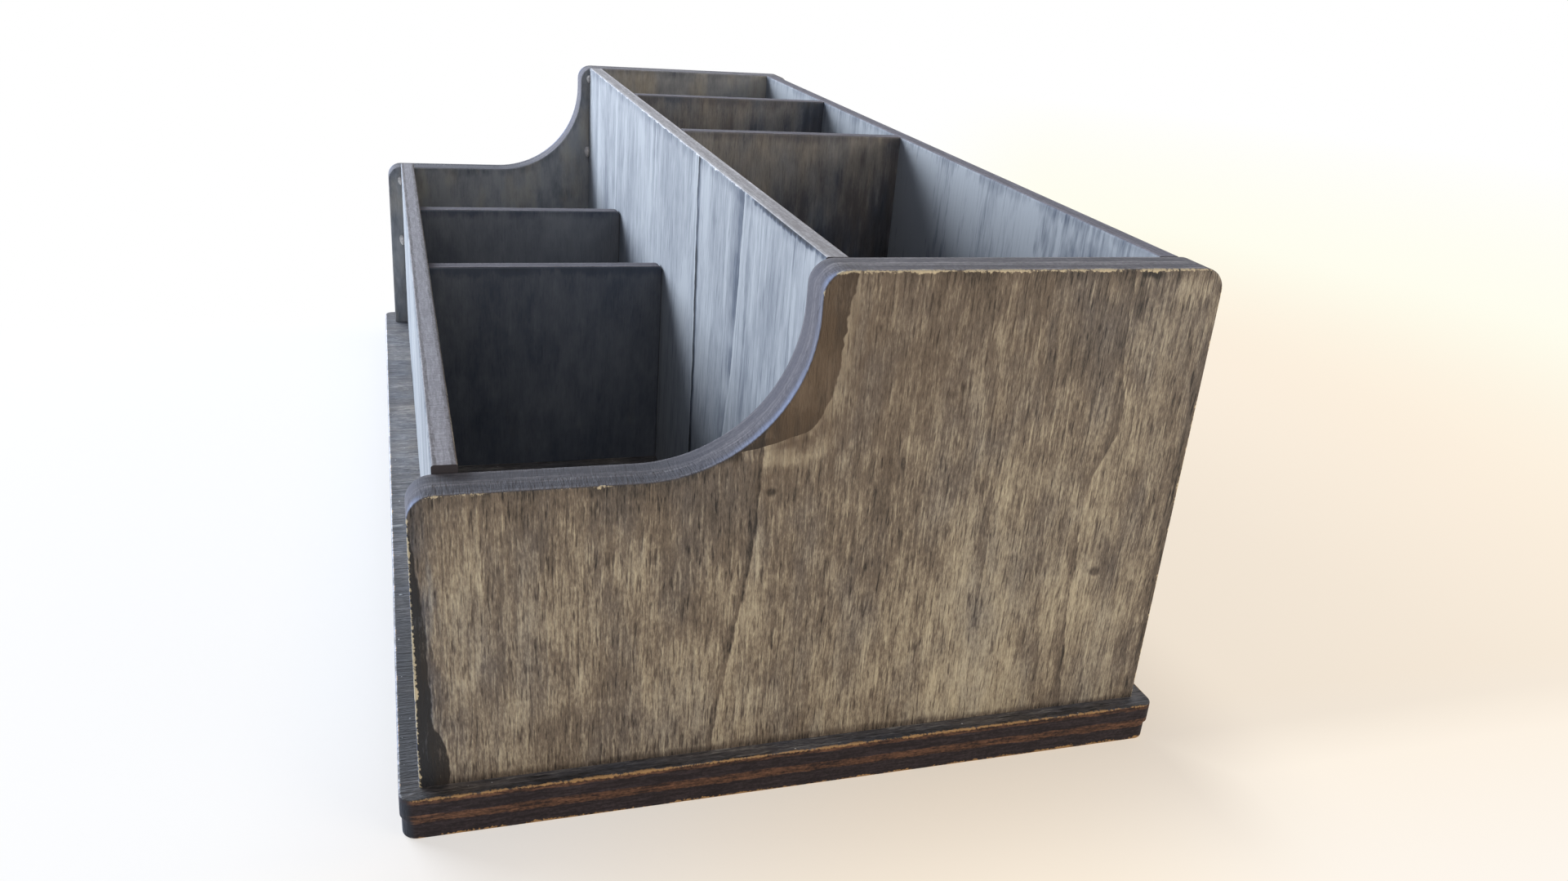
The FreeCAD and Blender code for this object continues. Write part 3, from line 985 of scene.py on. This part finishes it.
def make_floor():
    """A square of card that reaches past the view on every side, in metres."""
    half = 60.0
    mesh = bpy.data.meshes.new("floor")
    mesh.from_pydata([(-half, -half, 0), (half, -half, 0), (half, half, 0), (-half, half, 0)], [],
                     [(0, 1, 2, 3)])
    floor = bpy.data.objects.new("floor", mesh)
    bpy.context.scene.collection.objects.link(floor)
    mesh.materials.append(matt_white_card())


def make_room(scene):
    """Soft light from all round, with white walls for the eye and for reflections."""
    world = bpy.data.worlds.new("room")
    scene.world = world
    tree = emptied(world)
    towards = add(tree, "TexCoord", out="Generated")
    side = add(tree, "VectorMath", {0: towards, 1: (0.45, 0.6, -0.65)}, "Value",
               operation="DOT_PRODUCT")
    warmth = add(tree, "MapRange", {0: side, 1: -0.6, 2: 0.5}, **SMOOTH)
    tint = add(tree, "Mix", {0: warmth, 6: "#bccff5", 7: "#fff0dc"}, 2, **RGBA)
    light = add(tree, "Background", {"Color": tint, "Strength": 0.42})
    walls = add(tree, "Background", {"Color": "#ffffff", "Strength": 1.0})
    surface = add(tree, "MixShader", {0: seen_or_mirrored(tree), 1: light, 2: walls})
    add(tree, "OutputWorld", {"Surface": surface}, None)


def make_lights(scene):
    """A cool window before the low row, a warm lamp behind, and a soft one at the near end."""
    # Name, place, width, height, level and colour.
    lights = (
        ("window", (-0.95, -0.85, 0.34), 1.1, 0.6, 2.95, "#dce6f5"),
        ("lamp_right", (0.9, 1.0, 0.3), 0.8, 0.5, 0.42, "#ffefdb"),
        ("near_end", (1.3, -0.2, 0.6), 1.0, 1.0, 0.16, "#fff4e6"),
    )
    aim = Vector((0, 0, 0.05))
    for name, place, width, height, level, colour in lights:
        lamp = bpy.data.lights.new(name, "AREA")
        lamp.shape = "RECTANGLE"
        lamp.size, lamp.size_y = width, height
        away = Vector(place) - aim
        lamp.energy = level * math.pi ** 2 * away.length_squared
        lamp.color = linear(colour)[:3]
        obj = bpy.data.objects.new(name, lamp)
        obj.location = place
        obj.rotation_euler = (-away).to_track_quat("-Z", "Y").to_euler()
        scene.collection.objects.link(obj)


def make_camera(scene):
    """A camera at its place, looking at its aim and rolled about its line of sight."""
    stage = scene.rack_stage
    lens = bpy.data.cameras.new("camera")
    lens.sensor_width = 36.0
    lens.lens = stage.camera_lens
    lens.clip_start = 0.01
    camera = bpy.data.objects.new("camera", lens)
    sight = Vector(stage.camera_aim) - Vector(stage.camera_place)
    turn = sight.to_track_quat("-Z", "Y").to_matrix().to_4x4()
    turn = turn @ Matrix.Rotation(stage.camera_roll, 4, "Z")
    camera.matrix_world = Matrix.Translation(stage.camera_place) @ turn
    scene.collection.objects.link(camera)
    scene.camera = camera


class RACK_OT_stage(bpy.types.Operator):
    """Make the floor, the room, the lights and the camera"""
    bl_idname = "rack.stage"
    bl_label = "Stage"

    def execute(self, context):
        make_floor()
        make_room(context.scene)
        make_lights(context.scene)
        make_camera(context.scene)
        context.scene.view_settings.view_transform = "Standard"
        return {"FINISHED"}


# -------- the add-on

class RACK_PT_panel(bpy.types.Panel):
    """Sizes, colours and a button for each group of pieces and for the stage"""
    bl_idname = "RACK_PT_panel"
    bl_label = "Paint rack"
    bl_space_type = "VIEW_3D"
    bl_region_type = "UI"
    bl_category = "Paint rack"

    def draw(self, context):
        scene = context.scene
        for group in (scene.rack_sizes, scene.rack_colours, scene.rack_stage):
            for name in group.__annotations__:
                self.layout.prop(group, name)
        for operator in OPERATORS:
            self.layout.operator(operator.bl_idname)


OPERATORS = (RACK_OT_base, RACK_OT_sides, RACK_OT_panels, RACK_OT_dividers, RACK_OT_glue,
             RACK_OT_stage)
CLASSES = (RackSizes, RackColours, StageSizes, *OPERATORS, RACK_PT_panel)


def register():
    for kind in CLASSES:
        bpy.utils.register_class(kind)
    bpy.types.Scene.rack_sizes = PointerProperty(type=RackSizes)
    bpy.types.Scene.rack_colours = PointerProperty(type=RackColours)
    bpy.types.Scene.rack_stage = PointerProperty(type=StageSizes)


def unregister():
    del bpy.types.Scene.rack_stage
    del bpy.types.Scene.rack_colours
    del bpy.types.Scene.rack_sizes
    for kind in reversed(CLASSES):
        bpy.utils.unregister_class(kind)


def main():
    register()
    bpy.ops.rack.base()
    bpy.ops.rack.sides()
    bpy.ops.rack.panels()
    bpy.ops.rack.dividers()
    bpy.ops.rack.glue()
    bpy.ops.rack.stage()


if __name__ == "__main__":
    main()
